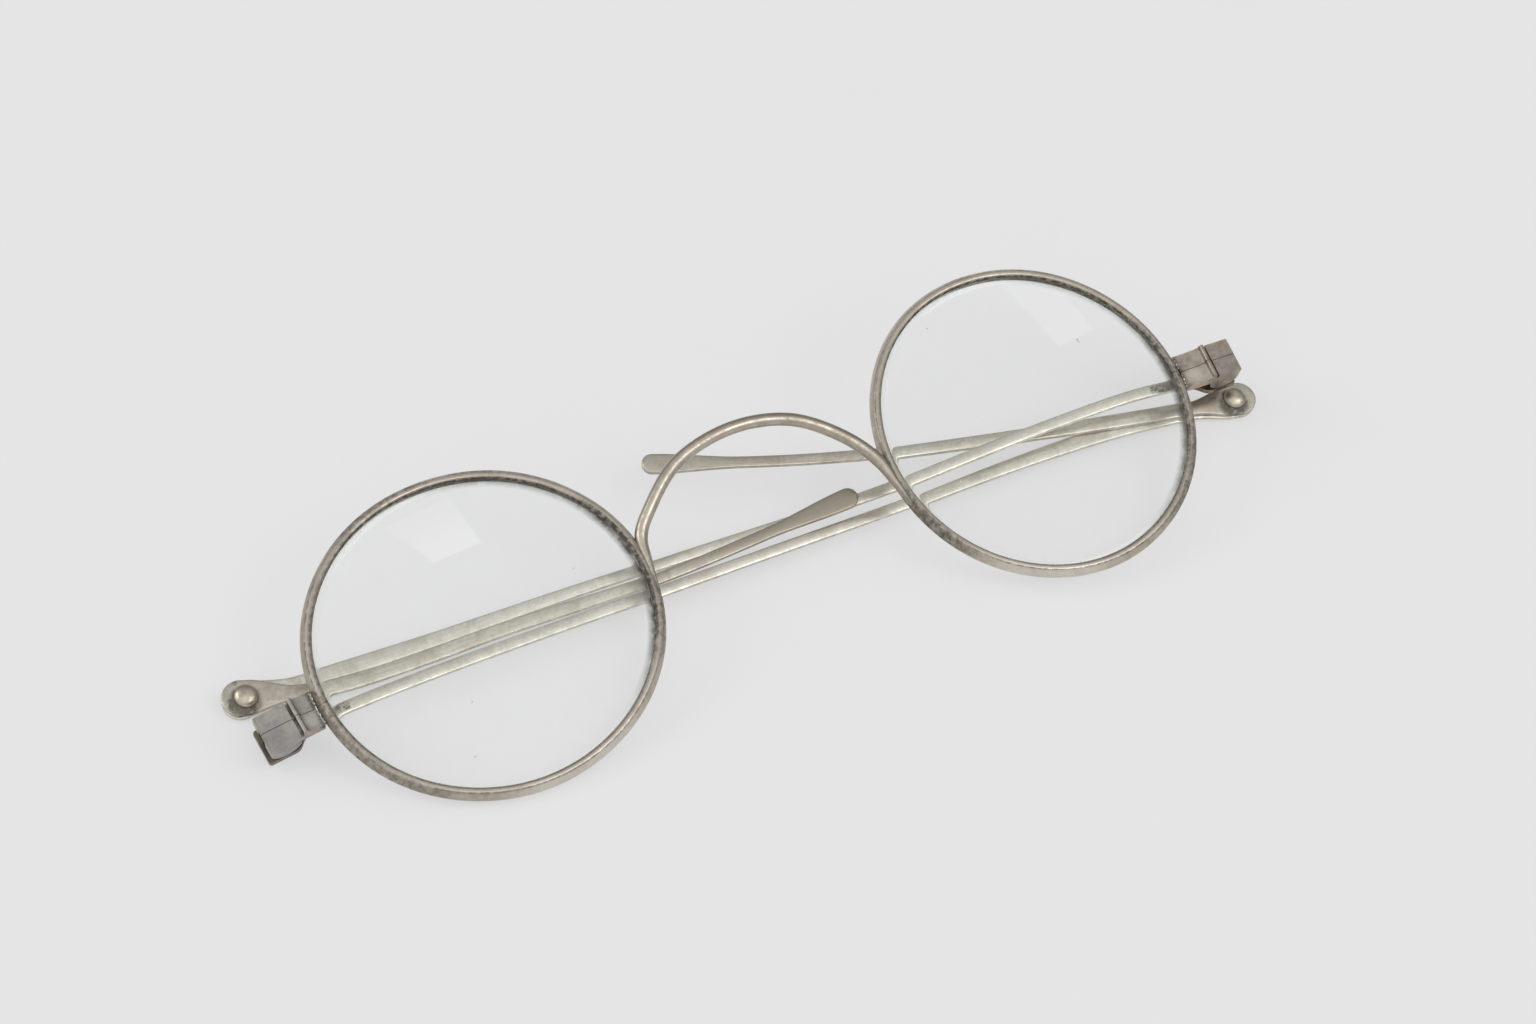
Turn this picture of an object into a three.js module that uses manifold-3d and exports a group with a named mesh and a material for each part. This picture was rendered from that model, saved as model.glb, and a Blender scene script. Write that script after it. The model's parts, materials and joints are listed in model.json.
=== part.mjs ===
// Turn-pin spectacles, folded shut and lying on their sides with the lens fronts uppermost.
// Millimetres. The front is drawn flat in its own frame: X across the eyes, Y up on the face,
// Z out of the lens fronts. The whole is then leant over until it rests on the table.
import * as THREE from 'three';
import { mergeVertices } from 'three/addons/utils/BufferGeometryUtils.js';
import Module from 'manifold-3d';

// Eyes: two rims turned round, pressed a little oval by use, and split at their outer sides
const eyeSpacing = 63.8;
const rimDiameter = 36.5;
const leftEyeWidth = 37.15;
const leftEyeHeight = 35.9;
const rightEyeWidth = 35.3;
const rightEyeHeight = 37.25;
const rimWidth = 1.2;
const rimDepth = 1.9;
const rimEdge = 0.3;
const grooveDepth = 0.5;
const grooveMouth = 1.1;
const splitGap = 0.2;

// Lenses: biconvex, with a bevelled edge that sits in the groove
const lensBulge = 0.75;
const lensBandThickness = 0.5;

// Bridge: one bent wire with scarfed feet on the inner sides of the rims
const bridgeWire = 1.4;
const bridgeRise = 10.05;
const bridgeForward = 2.6;
const footHeight = 0.75;
const leftFootStart = 3.3;
const rightFootStart = 1.8;
const footLength = 6.0;
const footTip = 0.3;
const legReach = 11.3;
const legHeight = 5.4;
const shoulderReach = 6.6;
const shoulderDrop = 1.15;

// Closing blocks: two halves a side, with a bead, a groove and a barrel behind a flat front
const leftArmHeight = -1.33;
const rightArmHeight = -1.1;
const leftDroop = 6;
const rightDroop = 3;
const blockHeight = 3.9;
const barrelRadius = 1.7;
const leftArmLength = 2.65;
const rightArmLength = 3.3;
const armThickness = 1.35;
const leftFrontLength = 3.4;
const rightFrontLength = 2.8;
const beadWidth = 0.55;
const beadRise = 0.5;
const grooveWidth = 0.3;
const grooveCut = 0.55;
const blockFront = 0.7;
const edgeBreak = 0.2;

// Joint screws: flush countersunk head above, blind tail below
const screwDiameter = 1.1;
const screwHead = 2.0;
const screwHeadDepth = 0.7;
const screwWall = 0.45;
const driverSlot = 0.3;
const driverDepth = 0.25;

// Sides: a joint plate with its tongue, and a long flat bar that ends in a round eye
const tongueHeight = 1.2;
const tongueRadius = 1.05;
const plateThickness = 0.75;
const plateOverhang = 0.25;
const plateShoulder = 2.2;
const leftSideReach = 111.3;
const rightSideReach = 110.5;
const barThickness = 0.55;
const barWidthAtJoint = 1.3;
const barWidthMiddle = 1.25;
const barWidthAtEye = 1.85;
const eyeDrop = 3.3;
const levelRun = 21;

// Extensions: a flat bar from the eye to a spatula tip
const leftExtensionReach = 64.5;
const rightExtensionReach = 67.45;
const extensionThickness = 0.55;
const extensionWidthAtEye = 1.6;
const extensionWidthThin = 1.25;
const spatulaWidth = 2.3;
const spatulaLength = 11;

// Turn pins: domed rivet in front, flat tail behind
const eyeDiameter = 3.9;
const eyeOffset = 0.6;
const neckLength = 5.2;
const pinDiameter = 1.3;
const pinHead = 2.5;
const pinDome = 0.75;
const tailDiameter = 2.4;
const tailThickness = 0.35;

// Clearances: brazed seats, sliding faces and edges kept apart
const seat = 0.12;
const slide = 0.12;
const barEdge = 0.14;

// Where the turn pins lie beside the far hinges when folded
const leftPinHeight = -4.25;
const rightPinHeight = 4.7;

// Heights of the folded sides, worked down from the block's front
const axisHeight = blockFront - barrelRadius;
const plateTop = axisHeight - barrelRadius - slide;
const eyeTop = plateTop - eyeDrop;
const eyeX = eyeSpacing / 2;
const rimRadius = rimDiameter / 2;

// What differs between the two sides
const sides = {
  left: {
    hand: -1,
    eyeHalfWidth: leftEyeWidth / 2,
    eyeHalfHeight: leftEyeHeight / 2,
    footStart: leftFootStart,
    armHeight: leftArmHeight,
    armLength: leftArmLength,
    frontLength: leftFrontLength,
    droopDegrees: leftDroop,
    sideReach: leftSideReach,
    extensionReach: leftExtensionReach,
    pinHeight: leftPinHeight,
  },
  right: {
    hand: 1,
    eyeHalfWidth: rightEyeWidth / 2,
    eyeHalfHeight: rightEyeHeight / 2,
    footStart: rightFootStart,
    armHeight: rightArmHeight,
    armLength: rightArmLength,
    frontLength: rightFrontLength,
    droopDegrees: rightDroop,
    sideReach: rightSideReach,
    extensionReach: rightExtensionReach,
    pinHeight: rightPinHeight,
  },
};

// Each block leaves its rim at the arm's height and droops towards its outer end
function hingeOf({ eyeHalfWidth, armHeight, armLength, droopDegrees }) {
  const droop = THREE.MathUtils.degToRad(droopDegrees);
  const reach = armLength + barrelRadius;
  const x = eyeX + eyeHalfWidth + reach * Math.cos(droop);
  return { droop, x, y: armHeight - reach * Math.sin(droop) };
}
const hinges = { left: hingeOf(sides.left), right: hingeOf(sides.right) };

const silver = { color: 0x9d9488, roughness: 0.38, metalness: 1.0 };
const finishes = {
  rim: new THREE.MeshStandardMaterial({ ...silver, color: 0x988d80 }),
  block: new THREE.MeshStandardMaterial({ ...silver, color: 0x9a918a }),
  bar: new THREE.MeshStandardMaterial({ ...silver, color: 0xb0a899 }),
  pin: new THREE.MeshStandardMaterial({ ...silver, color: 0xa59a88 }),
  glass: new THREE.MeshStandardMaterial({ color: 0xe6ebe6, roughness: 0.05, metalness: 0.0 }),
};

const wasm = await Module();
wasm.setup();

// A closed geometry becomes a solid for cutting and joining
function solid(geometry) {
  const plain = geometry.clone();
  plain.deleteAttribute('normal');
  plain.deleteAttribute('uv');
  const merged = mergeVertices(plain, 1e-5);
  return new wasm.Manifold(new wasm.Mesh({
    numProp: 3,
    vertProperties: new Float32Array(merged.attributes.position.array),
    triVerts: new Uint32Array(merged.index.array),
  }));
}

function geometryOf(body) {
  const mesh = body.getMesh();
  const geometry = new THREE.BufferGeometry();
  geometry.setAttribute('position', new THREE.BufferAttribute(new Float32Array(mesh.vertProperties), 3));
  geometry.setIndex(new THREE.BufferAttribute(new Uint32Array(mesh.triVerts), 1));
  geometry.computeVertexNormals();
  return geometry;
}

// A mirrored piece has its faces turned round again
function mirrored(geometry, axis) {
  const copy = geometry.clone().scale(axis === 'x' ? -1 : 1, axis === 'y' ? -1 : 1, 1);
  const order = copy.index.array;
  for (let i = 0; i < order.length; i += 3) [order[i], order[i + 1]] = [order[i + 1], order[i]];
  copy.computeVertexNormals();
  return copy;
}

// Pieces are drawn for the right hand
function handed(geometry, hand) {
  return hand > 0 ? geometry : mirrored(geometry, 'x');
}

// A profile drawn in X and Z is carried along Y from one height to another
function slab(shape, yLow, yHigh, curveSegments = 12) {
  const depth = yHigh - yLow;
  const geometry = new THREE.ExtrudeGeometry(shape, { depth, bevelEnabled: false, curveSegments });
  geometry.rotateX(Math.PI / 2);
  return geometry.translate(0, yHigh, 0);
}

// A ring or disc turned about Z from a profile of radius and height
function turned(profile, segments) {
  const points = profile.map(([radius, height]) => new THREE.Vector2(radius, height));
  return new THREE.LatheGeometry(points, segments).rotateX(Math.PI / 2);
}

// Rings of points, one after another along a run, are skinned and capped
function loft(rings) {
  const corners = rings[0].length;
  const index = [];
  for (let i = 0; i < rings.length - 1; i += 1) {
    for (let k = 0; k < corners; k += 1) {
      const a = i * corners + k;
      const b = i * corners + ((k + 1) % corners);
      index.push(a, b, a + corners, b, b + corners, a + corners);
    }
  }
  const last = (rings.length - 1) * corners;
  for (let k = 1; k < corners - 1; k += 1) {
    index.push(0, k + 1, k);
    index.push(last, last + k, last + k + 1);
  }
  const geometry = new THREE.BufferGeometry().setFromPoints(rings.flat());
  geometry.setIndex(index);
  geometry.computeVertexNormals();
  return geometry;
}

// A ring or disc turned to the rim's size is pressed to the eye's width and height
function pressed(geometry, side) {
  const { eyeHalfWidth, eyeHalfHeight } = sides[side];
  return geometry.scale(eyeHalfWidth / rimRadius, eyeHalfHeight / rimRadius, 1);
}

// Rim: half-round wire with a V groove inside, sawn through level with the arms
const grooveFloor = rimRadius - rimWidth + grooveDepth;
const rimCrown = rimWidth * 0.4;

function rim(side) {
  const inner = rimRadius - rimWidth;
  const half = rimDepth / 2;
  const mouth = grooveMouth / 2;
  const crown = rimCrown;
  const profile = [
    [inner, mouth], [inner + rimEdge * 0.5, half - rimEdge * 0.3], [inner + rimEdge, half],
    [rimRadius - crown, half], [rimRadius - rimEdge * 0.4, half - crown], [rimRadius, half - crown * 1.6],
    [rimRadius, crown * 1.6 - half], [rimRadius - rimEdge * 0.4, crown - half], [rimRadius - crown, -half],
    [inner + rimEdge, -half], [inner + rimEdge * 0.5, rimEdge * 0.3 - half], [inner, -mouth],
    [grooveFloor, 0], [inner, mouth],
  ];
  const ring = pressed(turned(profile.reverse(), 72), side);
  const saw = new THREE.BoxGeometry(rimWidth * 4, splitGap, rimDepth * 2);
  saw.translate(sides[side].eyeHalfWidth, sides[side].armHeight, 0);
  return geometryOf(solid(ring).subtract(solid(saw)));
}

function lens(side) {
  const edge = grooveFloor - seat;
  const face = rimRadius - rimWidth - seat;
  const band = lensBandThickness / 2;
  const rings = 4;
  const backFace = [];
  for (let i = 0; i <= rings; i += 1) {
    const radius = face * (i / rings);
    backFace.push([radius, -band - lensBulge * (1 - (radius / face) ** 2)]);
  }
  const frontFace = backFace.map(([radius, height]) => [radius, -height]).reverse();
  return pressed(turned([...backFace, [edge, 0], ...frontFace], 60), side);
}

// Bridge: the wire rises from the rims, arches forward and thins to a scarf along each rim
function bridge() {
  const wire = bridgeWire / 2;
  const halfPath = ({ hand, eyeHalfWidth, eyeHalfHeight, footStart }) => {
    const onRim = (height, halfWidth) => {
      const out = seat + halfWidth;
      return eyeX - (eyeHalfWidth + out) * Math.sqrt(1 - (height / (eyeHalfHeight + out)) ** 2);
    };
    const spot = (x, y, z) => new THREE.Vector3(hand * x, y, z);
    const footEnd = footStart - footLength;
    const footMiddle = footStart - footLength / 2;
    return [
      spot(onRim(footEnd, footTip / 2), footEnd, footHeight * 0.3),
      spot(onRim(footMiddle, (footTip / 2 + wire) / 2), footMiddle, footHeight * 0.6),
      spot(onRim(footStart, wire), footStart, footHeight),
      spot(legReach, legHeight, footHeight + bridgeForward * 0.3),
      spot(shoulderReach, bridgeRise - shoulderDrop, footHeight + bridgeForward * 0.7),
    ];
  };
  const crown = new THREE.Vector3(0, bridgeRise, footHeight + bridgeForward);
  const points = [...halfPath(sides.left), crown, ...halfPath(sides.right).reverse()];
  const path = new THREE.CatmullRomCurve3(points);
  const steps = 48;
  const corners = 10;
  const scarf = footLength / path.getLength();
  const rings = [];
  for (let i = 0; i <= steps; i += 1) {
    const u = i / steps;
    const along = path.getTangentAt(u);
    const across = new THREE.Vector3(0, 0, 1).cross(along).normalize();
    const up = along.clone().cross(across);
    const fromEnd = Math.min(1, Math.min(u, 1 - u) / scarf);
    const halfWidth = THREE.MathUtils.lerp(footTip / 2, wire, fromEnd);
    const halfDepth = wire * THREE.MathUtils.lerp(0.75, 1, fromEnd);
    const ring = [];
    for (let k = 0; k < corners; k += 1) {
      const angle = (2 * Math.PI * k) / corners;
      const spot = path.getPointAt(u).addScaledVector(across, halfWidth * Math.cos(angle));
      ring.push(spot.addScaledVector(up, halfDepth * Math.sin(angle)));
    }
    rings.push(ring);
  }
  return loft(rings);
}

// Closing block half: arm, bead, groove and flat front, with the barrel rounded behind
function blockProfile({ armLength, frontLength }) {
  const r = barrelRadius;
  const grooveOuter = r - frontLength;
  const beadOuter = grooveOuter - grooveWidth;
  const beadInner = beadOuter - beadWidth;
  const armFront = r - edgeBreak;
  const rimEnd = -(r + armLength + rimWidth);
  const shape = new THREE.Shape();
  shape.moveTo(r, 0);
  shape.lineTo(r, r - edgeBreak);
  shape.lineTo(r - edgeBreak, r);
  shape.lineTo(grooveOuter, r);
  shape.lineTo(grooveOuter, r - grooveCut);
  shape.lineTo(beadOuter, r - grooveCut);
  shape.lineTo(beadOuter, r + beadRise * 0.6);
  shape.quadraticCurveTo(beadOuter, r + beadRise, beadOuter - beadWidth * 0.5, r + beadRise);
  shape.quadraticCurveTo(beadInner, r + beadRise, beadInner, armFront + edgeBreak);
  shape.quadraticCurveTo(beadInner - armLength * 0.25, armFront - edgeBreak, rimEnd, armFront - edgeBreak);
  shape.lineTo(rimEnd, armFront - armThickness);
  shape.lineTo(-r * 1.35, armFront - armThickness);
  shape.quadraticCurveTo(-r, armFront - armThickness, -r, 0);
  shape.absarc(0, 0, r, Math.PI, 2 * Math.PI, false);
  return shape;
}

// Room behind the flat front for the tongue to swing from folded to open
function tongueRoom() {
  const room = tongueRadius + slide;
  const past = barrelRadius * 2;
  const shape = new THREE.Shape();
  shape.moveTo(-room, -past);
  shape.lineTo(-room, 0);
  shape.absarc(0, 0, room, Math.PI, Math.PI / 2, true);
  shape.lineTo(past, room);
  shape.lineTo(past, -past);
  shape.closePath();
  return shape;
}

// Hinge pieces are drawn about the screw, then drooped and set in place
function onHinge(geometry, side) {
  const { droop, x, y } = hinges[side];
  return geometry.rotateZ(-droop).translate(x, y, axisHeight);
}

function yCylinder(radius, yLow, yHigh, segments = 24) {
  const geometry = new THREE.CylinderGeometry(radius, radius, yHigh - yLow, segments);
  return geometry.translate(0, (yLow + yHigh) / 2, 0);
}

// The upper half carries the countersink, the lower half a blind hole
function lug(side, upper) {
  const half = blockHeight / 2;
  const past = 1;
  let body = solid(slab(blockProfile(sides[side]), splitGap / 2, half));
  const room = tongueHeight / 2 + slide;
  body = body.subtract(solid(slab(tongueRoom(), -past, room)));
  const shank = screwDiameter / 2 + slide;
  const holeEnd = upper ? half + past : half - screwWall + slide;
  body = body.subtract(solid(yCylinder(shank, -past, holeEnd)));
  if (upper) {
    const head = screwHead / 2 + slide;
    const sink = new THREE.CylinderGeometry(head, shank, screwHeadDepth + slide, 24);
    body = body.subtract(solid(sink.translate(0, half - (screwHeadDepth + slide) / 2, 0)));
  }
  const geometry = upper ? geometryOf(body) : mirrored(geometryOf(body), 'y');
  onHinge(geometry, side);
  const { eyeHalfWidth, eyeHalfHeight } = sides[side];
  const eyeRoom = new THREE.CylinderGeometry(1, 1, rimDepth * 4, 72).rotateX(Math.PI / 2);
  eyeRoom.scale(eyeHalfWidth + seat, eyeHalfHeight + seat, 1).translate(eyeX, 0, 0);
  return geometryOf(solid(geometry).subtract(solid(eyeRoom)));
}

function jointScrew(side) {
  const half = blockHeight / 2;
  const shank = screwDiameter / 2;
  const head = screwHead / 2;
  const tail = screwWall - half;
  const points = [[0, tail], [shank, tail], [shank, half - screwHeadDepth], [head, half], [0, half]];
  const body = new THREE.LatheGeometry(points.map(([x, y]) => new THREE.Vector2(x, y)), 24);
  const slot = new THREE.BoxGeometry(screwHead * 2, driverDepth * 2, driverSlot).translate(0, half, 0);
  return onHinge(geometryOf(solid(body).subtract(solid(slot))), side);
}

// Joint plate: lies behind the barrel when folded and covers the block's end when open
const plateInner = barrelRadius + plateShoulder;

function sideJoint(side) {
  const half = blockHeight / 2;
  const outer = barrelRadius + plateOverhang;
  const barHalf = barWidthAtJoint / 2;
  const plate = new THREE.Shape();
  plate.moveTo(outer, -half + edgeBreak);
  plate.lineTo(outer, half - edgeBreak);
  plate.lineTo(outer - edgeBreak, half);
  plate.lineTo(-barrelRadius * 0.6, half);
  plate.bezierCurveTo(-barrelRadius * 1.2, half, -barrelRadius * 1.2, barHalf, -plateInner, barHalf);
  plate.lineTo(-plateInner, -barHalf);
  plate.bezierCurveTo(-barrelRadius * 1.2, -barHalf, -barrelRadius * 1.2, -half, -barrelRadius * 0.6, -half);
  plate.lineTo(outer - edgeBreak, -half);
  plate.closePath();
  const settings = { depth: plateThickness, bevelEnabled: false, curveSegments: 8 };
  const sheet = new THREE.ExtrudeGeometry(plate, settings);
  sheet.translate(0, 0, -barrelRadius - slide - plateThickness);
  const tongue = new THREE.Shape();
  const root = -barrelRadius - slide - plateThickness / 2;
  tongue.moveTo(-tongueRadius, root);
  tongue.lineTo(tongueRadius, root);
  tongue.lineTo(tongueRadius, 0);
  tongue.absarc(0, 0, tongueRadius, 0, Math.PI, false);
  tongue.closePath();
  let body = solid(sheet).add(solid(slab(tongue, -tongueHeight / 2, tongueHeight / 2)));
  body = body.subtract(solid(yCylinder(screwDiameter / 2 + slide, -tongueHeight, tongueHeight)));
  return onHinge(geometryOf(body), side);
}

// A width between knots of place and width
function smooth(knots, at) {
  const next = knots.findIndex(([place]) => place >= at);
  if (next === 0) return knots[0][1];
  if (next < 0) return knots.at(-1)[1];
  const [from, low] = knots[next - 1];
  const [to, high] = knots[next];
  return low + (high - low) * THREE.MathUtils.smoothstep(at, from, to);
}

// Where the neck's sides leave the round eye, whose middle lies past the pin
function neckStart() {
  const radius = eyeDiameter / 2;
  const past = radius * 0.24;
  return [past - eyeOffset, Math.sqrt(radius ** 2 - past ** 2)];
}

// A spot on a path, which runs on straight before its start
function alongPath(path, s) {
  const u = Math.max(0, s / path.getLength());
  const along = path.getTangentAt(u);
  const spot = path.getPointAt(u).addScaledVector(along, Math.min(0, s));
  return { spot, along };
}

// Flat bar: a section with broken edges follows a path seen from the front, and starts in a round eye
function flatBar(outline, thickness, path, topAt) {
  const half = thickness / 2;
  const rings = outline.map(([s, width]) => {
    const { spot, along } = alongPath(path, s);
    const across = new THREE.Vector3(-along.y, along.x, 0);
    const middle = spot.setZ(topAt(s) - half);
    const edge = Math.min(barEdge, width / 2);
    const section = [
      [width, edge - half], [width, half - edge], [width - edge, half], [edge - width, half],
      [-width, half - edge], [-width, edge - half], [edge - width, -half], [width - edge, -half],
    ];
    return section.map(([w, h]) => middle.clone().addScaledVector(across, w).setZ(middle.z + h));
  });
  const radius = eyeDiameter / 2;
  const rim = radius - barEdge;
  const disc = turned([
    [0, -half], [rim, -half], [radius, barEdge - half], [radius, half - barEdge], [rim, half], [0, half],
  ], 28);
  const bore = pinDiameter / 2 + slide;
  const hole = new THREE.CylinderGeometry(bore, bore, thickness * 2, 24);
  const pin = path.getPointAt(0).setZ(topAt(0) - half);
  const eye = alongPath(path, -eyeOffset).spot;
  disc.translate(eye.x, eye.y, pin.z);
  hole.rotateX(Math.PI / 2).translate(pin.x, pin.y, pin.z);
  return geometryOf(solid(loft(rings)).add(solid(disc)).subtract(solid(hole)));
}

function stations(from, to, count, widthAt) {
  const list = [];
  for (let i = 0; i <= count; i += 1) {
    const s = THREE.MathUtils.lerp(from, to, i / count);
    list.push([s, widthAt(s)]);
  }
  return list;
}

// Half widths from the eye's shoulder down its neck, then along the rest of the bar
function eyeStations(knots, end, count) {
  const widthAt = (s) => smooth(knots, s);
  const neck = stations(knots[0][0], neckLength, 6, widthAt).slice(0, -1);
  return [...neck, ...stations(neckLength, end, count, widthAt)];
}

// Where each folded bar runs, as seen from the front: a share of its reach, and a height on Y
function barStart(side) {
  const { droop, y } = hinges[side];
  const share = 0.05;
  return [[0, y], [share, y + share * sides[side].sideReach * Math.tan(droop)]];
}
const sideRuns = {
  left: [...barStart('left'), [0.27, -1.15], [0.585, -1.6], [0.86, -2.3], [1, leftPinHeight]],
  right: [
    ...barStart('right'), [0.09, -0.56], [0.17, -0.2], [0.385, 0.4],
    [0.62, 2.1], [0.84, 3.3], [1, rightPinHeight],
  ],
};
const extensionRuns = {
  left: [[0, leftPinHeight], [0.175, -2.3], [0.42, 1.28], [0.738, 7.25], [1, 13.5]],
  right: [[0, rightPinHeight], [0.134, 2.3], [0.4, 1.2], [0.664, 0.25], [1, 0.73]],
};

function runPath(run, start, reach, towards) {
  const points = run.map(([share, y]) => new THREE.Vector3(start + towards * share * reach, y, 0));
  return new THREE.CatmullRomCurve3(points, false, 'centripetal');
}

function pinX(side) {
  return sides[side].hand * (hinges[side].x - sides[side].sideReach);
}

// A bar is measured from its turn pin back to its joint plate
function barPath(side) {
  const run = sideRuns[side].map(([share, y]) => [1 - share, y]).reverse();
  return runPath(run, pinX(side), sides[side].sideReach, sides[side].hand);
}

function extensionPath(side) {
  return runPath(extensionRuns[side], pinX(side), sides[side].extensionReach, sides[side].hand);
}

// A bar runs level from its eye, then climbs to its joint plate
function barHeight(side) {
  const climb = sides[side].sideReach - plateInner - levelRun;
  return (s) => eyeTop + eyeDrop * Math.max(0, (s - levelRun) / climb);
}

function sideBar(side) {
  const path = barPath(side);
  const end = path.getLength() - plateInner - seat;
  const neck = barWidthAtEye / 2;
  const knots = [
    neckStart(), [neckLength, neck], [levelRun * 2, barWidthMiddle / 2],
    [end - levelRun, barWidthMiddle / 2], [end, barWidthAtJoint / 2],
  ];
  const outline = eyeStations(knots, end, 28);
  return flatBar(outline, barThickness, path, barHeight(side));
}

// The right extension lies on its own bar all along, the left one runs level below the right bar
function extension(side) {
  const path = extensionPath(side);
  const end = path.getLength();
  const neck = extensionWidthAtEye / 2;
  const tip = spatulaWidth / 2;
  const knots = [
    neckStart(), [neckLength, neck], [end - spatulaLength * 1.6, extensionWidthThin / 2],
    [end - spatulaLength, extensionWidthThin / 2], [end - tip, tip],
  ];
  const outline = eyeStations(knots, end - tip, 20);
  const steps = 6;
  for (let i = 1; i <= steps; i += 1) {
    const angle = (Math.PI / 2) * (i / (steps + 0.5));
    outline.push([end - tip + tip * Math.sin(angle), tip * Math.cos(angle)]);
  }
  const rise = side === 'right' ? barHeight(side) : () => eyeTop;
  return flatBar(outline, extensionThickness, path, (s) => rise(s) + slide + extensionThickness);
}

function turnPin(side) {
  const shank = pinDiameter / 2;
  const head = pinHead / 2;
  const under = slide + extensionThickness + slide;
  const back = -barThickness - slide;
  const dome = [];
  const steps = 5;
  for (let i = 0; i <= steps; i += 1) {
    const angle = (Math.PI / 2) * (i / steps);
    dome.push([head * Math.cos(angle), under + pinDome * (0.2 + 0.8 * Math.sin(angle))]);
  }
  dome.at(-1)[0] = 0;
  const profile = [
    [0, back - tailThickness], [tailDiameter / 2, back - tailThickness], [tailDiameter / 2, back],
    [shank, back], [shank, under], [head, under], ...dome,
  ];
  const geometry = turned(profile, 24);
  return geometry.translate(pinX(side), sides[side].pinHeight, eyeTop);
}

const front = new THREE.Group();
function add(name, geometry, material) {
  const mesh = new THREE.Mesh(geometry, material);
  mesh.name = name;
  front.add(mesh);
}

add('bridge', bridge(), finishes.rim);
for (const [side, { hand }] of Object.entries(sides)) {
  add(`${side}_rim`, handed(rim(side), hand).translate(hand * eyeX, 0, 0), finishes.rim);
  add(`${side}_lens`, lens(side).translate(hand * eyeX, 0, 0), finishes.glass);
  add(`${side}_upper_lug`, handed(lug(side, true), hand), finishes.block);
  add(`${side}_lower_lug`, handed(lug(side, false), hand), finishes.block);
  add(`${side}_joint_screw`, handed(jointScrew(side), hand), finishes.pin);
  add(`${side}_side_joint`, handed(sideJoint(side), hand), finishes.block);
  add(`${side}_side_bar`, sideBar(side), finishes.bar);
  add(`${side}_extension`, extension(side), finishes.bar);
  add(`${side}_turn_pin`, turnPin(side), finishes.pin);
}

// At rest the tails of both turn pins and the lower edge of the left rim meet the table
const betweenPins = pinX('left') - pinX('right');
const pinLine = new THREE.Vector3(betweenPins, leftPinHeight - rightPinHeight, 0).normalize();
const tailFoot = -eyeTop + barThickness + slide + tailThickness;
const midHeight = (leftPinHeight + rightPinHeight) / 2;
const eyeReach = Math.hypot(sides.left.eyeHalfWidth * pinLine.y, sides.left.eyeHalfHeight * pinLine.x);
const rimReach = eyeReach * (1 - rimCrown / rimRadius) + midHeight - pinLine.y * eyeX;
const lean = Math.atan2(tailFoot - rimDepth / 2, rimReach - tailDiameter / 2);
front.setRotationFromAxisAngle(pinLine, lean);

const spectacles = new THREE.Group();
spectacles.add(front);
spectacles.updateMatrixWorld(true);
const reach = new THREE.Box3().setFromObject(spectacles, true);
front.position.set(-(reach.min.x + reach.max.x) / 2, -(reach.min.y + reach.max.y) / 2, -reach.min.z);

export default spectacles;
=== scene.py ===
import json
import math

import bmesh
import bpy
import numpy as np
from mathutils import Euler, Matrix


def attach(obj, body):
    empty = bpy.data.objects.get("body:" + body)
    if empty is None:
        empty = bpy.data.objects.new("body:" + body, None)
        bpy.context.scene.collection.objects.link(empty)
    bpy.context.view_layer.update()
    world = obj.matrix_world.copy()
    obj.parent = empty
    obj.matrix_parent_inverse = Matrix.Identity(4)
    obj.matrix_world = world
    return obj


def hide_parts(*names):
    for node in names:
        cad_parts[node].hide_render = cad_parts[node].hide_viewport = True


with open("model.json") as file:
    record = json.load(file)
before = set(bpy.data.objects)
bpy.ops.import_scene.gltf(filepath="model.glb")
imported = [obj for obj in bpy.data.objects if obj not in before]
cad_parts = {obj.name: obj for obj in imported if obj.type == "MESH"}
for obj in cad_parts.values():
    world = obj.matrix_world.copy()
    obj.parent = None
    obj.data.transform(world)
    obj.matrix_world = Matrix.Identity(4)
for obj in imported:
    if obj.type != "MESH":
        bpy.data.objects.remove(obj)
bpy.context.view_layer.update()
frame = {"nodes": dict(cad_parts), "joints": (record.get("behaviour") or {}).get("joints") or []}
print("frame loaded,", len(frame["nodes"]), "nodes")

# Sizes are in millimetres in the front's own frame: X across the eyes, Y up the face, Z out of the lenses
front = {
    "eyeX": 31.9,
    "rimRadius": 18.25,                            # before an eye is pressed oval
    "eyeHalf": {"left": (18.575, 17.95), "right": (17.65, 18.625)},    # half width and half height
    "armHeight": {"left": -1.33, "right": -1.1},   # where each block leaves its rim
    "droop": {"left": 6.0, "right": 3.0},          # degrees that each block hangs down
    "jointReach": {"left": 4.35, "right": 5.0},    # from the rim to the hinge screw
    "hingeOut": -1.0,                              # depth of the screw behind the rim's middle
    "seat": 0.12,                                  # gap that brazed pieces keep
    "slide": 0.12,                                 # gap that sliding pieces keep
}
hands = {"left": -1, "right": 1}
meshing = {
    "weld": 2e-8,          # metres, as the next two are
    "sliver": 1e-9,
    "cadWeld": 1e-7,
    "flat": 1.5,           # degrees within which the solids' facets merge
    "sharpFrom": 38.0,     # degrees at which two faces meet in an edge
    "splineSteps": 60,
}


def hingePlace(side):
    angle = math.radians(front["droop"][side])
    reach = front["jointReach"][side]
    x = front["eyeX"] + front["eyeHalf"][side][0] + reach * math.cos(angle)
    y = front["armHeight"][side] - reach * math.sin(angle)
    return np.array([hands[side] * x, y, front["hingeOut"]])


def pressEye(side, radius, turn):
    # a spot on the round eye, pressed to this eye's half width and half height
    wide, high = (half / front["rimRadius"] for half in front["eyeHalf"][side])
    return hands[side] * (front["eyeX"] + wide * radius * np.cos(turn)), high * radius * np.sin(turn)


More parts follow.
